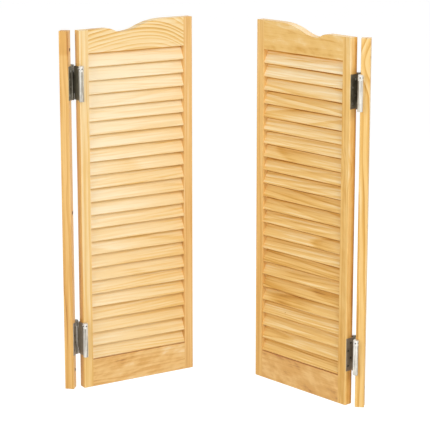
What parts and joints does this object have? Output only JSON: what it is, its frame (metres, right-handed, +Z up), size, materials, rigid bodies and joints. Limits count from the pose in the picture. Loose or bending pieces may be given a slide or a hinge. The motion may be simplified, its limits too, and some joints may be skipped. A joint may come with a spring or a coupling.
{
  "type": "cafe swinging doors",
  "caption": "Pair of half-height louvred cafe doors with curved heads, each hung on its jamb strip by double-acting spring hinges and swinging both ways.",
  "frame": {"origin": "middle of the doorway, on the middle plane of the two jamb strips, level with the door bottoms", "axes": "+X along the doorway from the left strip to the right strip, +Y away from the front, to where both doors stand open, +Z up"},
  "size_m": [0.872, 0.2958, 1.0668],
  "materials": {
    "strip_pine": "clear satin varnish, vertical grain",
    "stile_pine": "clear satin varnish, vertical grain",
    "rail_pine": "clear satin varnish, grain along the rail",
    "slat_pine": "clear satin varnish, grain along the slat",
    "dowel_beech": "plain",
    "hinge_sheet": "zinc-plated rolled sheet",
    "hinge_turned": "zinc-plated, turned",
    "spring_steel": "oiled",
    "screw_steel": "zinc-plated"
  },
  "bodies": {
    "jamb_strips": {"left_jamb_strip": "strip_pine", "left_lower_strip_flange": "hinge_sheet", "left_lower_strip_spindle": "hinge_turned", "left_lower_strip_tension_cap": "hinge_turned", "left_upper_strip_flange": "hinge_sheet", "left_upper_strip_spindle": "hinge_turned", "left_upper_strip_tension_cap": "hinge_turned", "left_strip_hinge_screws": "screw_steel", "left_strip_tension_pins": "hinge_turned", "right_jamb_strip": "strip_pine", "right_lower_strip_flange": "hinge_sheet", "right_lower_strip_spindle": "hinge_turned", "right_lower_strip_tension_cap": "hinge_turned", "right_upper_strip_flange": "hinge_sheet", "right_upper_strip_spindle": "hinge_turned", "right_upper_strip_tension_cap": "hinge_turned", "right_strip_hinge_screws": "screw_steel", "right_strip_tension_pins": "hinge_turned"},
    "left_link": {"left_lower_centre_web": "hinge_sheet", "left_lower_strip_spring": "spring_steel", "left_lower_door_spring": "spring_steel", "left_upper_centre_web": "hinge_sheet", "left_upper_strip_spring": "spring_steel", "left_upper_door_spring": "spring_steel"},
    "left_door": {"left_hinge_stile": "stile_pine", "left_meeting_stile": "stile_pine", "left_top_rail": "rail_pine", "left_bottom_rail": "rail_pine", "left_slats": "slat_pine", "left_rail_dowels": "dowel_beech", "left_lower_door_flange": "hinge_sheet", "left_lower_door_spindle": "hinge_turned", "left_lower_door_tension_cap": "hinge_turned", "left_upper_door_flange": "hinge_sheet", "left_upper_door_spindle": "hinge_turned", "left_upper_door_tension_cap": "hinge_turned", "left_door_hinge_screws": "screw_steel", "left_door_tension_pins": "hinge_turned"},
    "right_link": {"right_lower_centre_web": "hinge_sheet", "right_lower_strip_spring": "spring_steel", "right_lower_door_spring": "spring_steel", "right_upper_centre_web": "hinge_sheet", "right_upper_strip_spring": "spring_steel", "right_upper_door_spring": "spring_steel"},
    "right_door": {"right_hinge_stile": "stile_pine", "right_meeting_stile": "stile_pine", "right_top_rail": "rail_pine", "right_bottom_rail": "rail_pine", "right_slats": "slat_pine", "right_rail_dowels": "dowel_beech", "right_lower_door_flange": "hinge_sheet", "right_lower_door_spindle": "hinge_turned", "right_lower_door_tension_cap": "hinge_turned", "right_upper_door_flange": "hinge_sheet", "right_upper_door_spindle": "hinge_turned", "right_upper_door_tension_cap": "hinge_turned", "right_door_hinge_screws": "screw_steel", "right_door_tension_pins": "hinge_turned"}
  },
  "joints": [
    {"name": "left_link_swing", "type": "hinge", "parent": "jamb_strips", "child": "left_link", "pos_m": [-0.4112, 0.0221, 0.5244], "axis": [0, 0, 1], "range_deg": [-42, 48], "stiffness_Nm_per_rad": 1, "springref_deg": -42},
    {"name": "left_door_swing", "type": "hinge", "parent": "left_link", "child": "left_door", "pos_m": [-0.37509, -0.00486, 0.5244], "axis": [0, 0, 1], "range_deg": [-90, 0], "stiffness_Nm_per_rad": 1},
    {"name": "right_link_swing", "type": "hinge", "parent": "jamb_strips", "child": "right_link", "pos_m": [0.4112, -0.0221, 0.5244], "axis": [0, 0, 1], "range_deg": [0, 90], "stiffness_Nm_per_rad": 1},
    {"name": "right_door_swing", "type": "hinge", "parent": "right_link", "child": "right_door", "pos_m": [0.4024, 0.0221, 0.5244], "axis": [0, 0, 1], "range_deg": [-53, 37], "stiffness_Nm_per_rad": 1, "springref_deg": 37}
  ]
}
